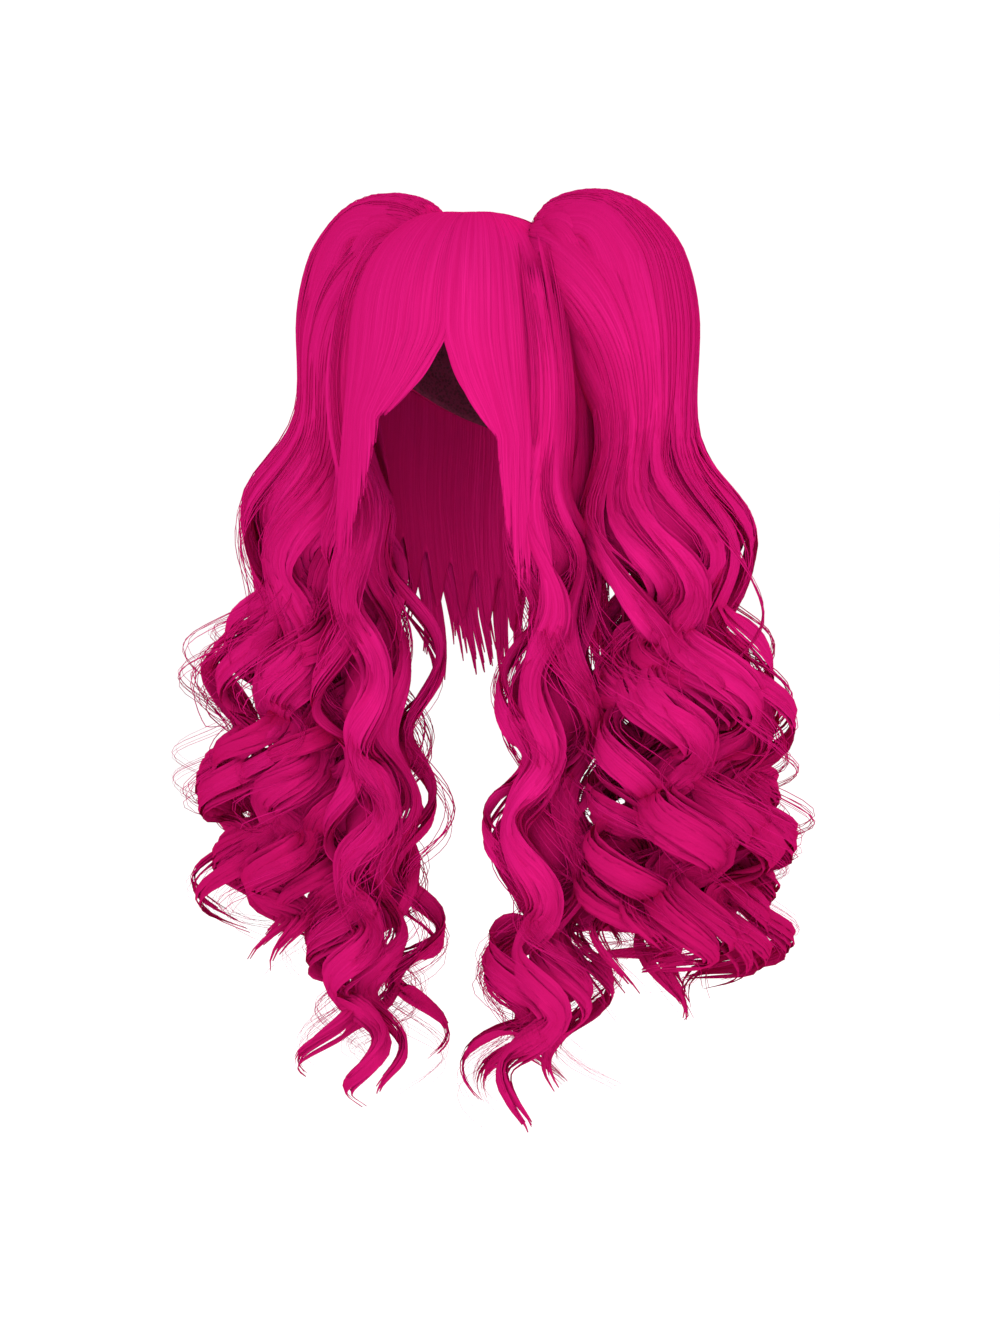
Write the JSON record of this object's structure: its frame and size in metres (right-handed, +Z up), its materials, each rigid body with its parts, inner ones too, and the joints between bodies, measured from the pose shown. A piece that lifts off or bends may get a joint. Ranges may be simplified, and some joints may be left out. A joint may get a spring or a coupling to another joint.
{
  "type": "pigtail wig",
  "caption": "Long curly wig on a hollow cap, with a parted fringe, long locks beside the face, a curtain of hair at the back and high curled pigtails clipped on.",
  "frame": {"origin": "the highest point inside the cap, where the crown of the head meets it", "axes": "+Z up as worn, -Y the way the wearer looks, +X the wearer's left"},
  "size_m": [0.5322, 0.2248, 0.6983],
  "materials": {
    "hair_fibre": "satin synthetic hair",
    "cap_net": "matte elastic net",
    "clip_plastic": "matte"
  },
  "bodies": {
    "root": {"cap": "cap_net", "crown_hair": "hair_fibre", "fringe_right": "hair_fibre", "fringe_left": "hair_fibre", "back_hair": "hair_fibre", "side_lock_right": "hair_fibre", "side_lock_left": "hair_fibre", "clip_right": "clip_plastic", "clip_left": "clip_plastic", "pigtail_right": "hair_fibre", "pigtail_left": "hair_fibre"}
  },
  "joints": []
}
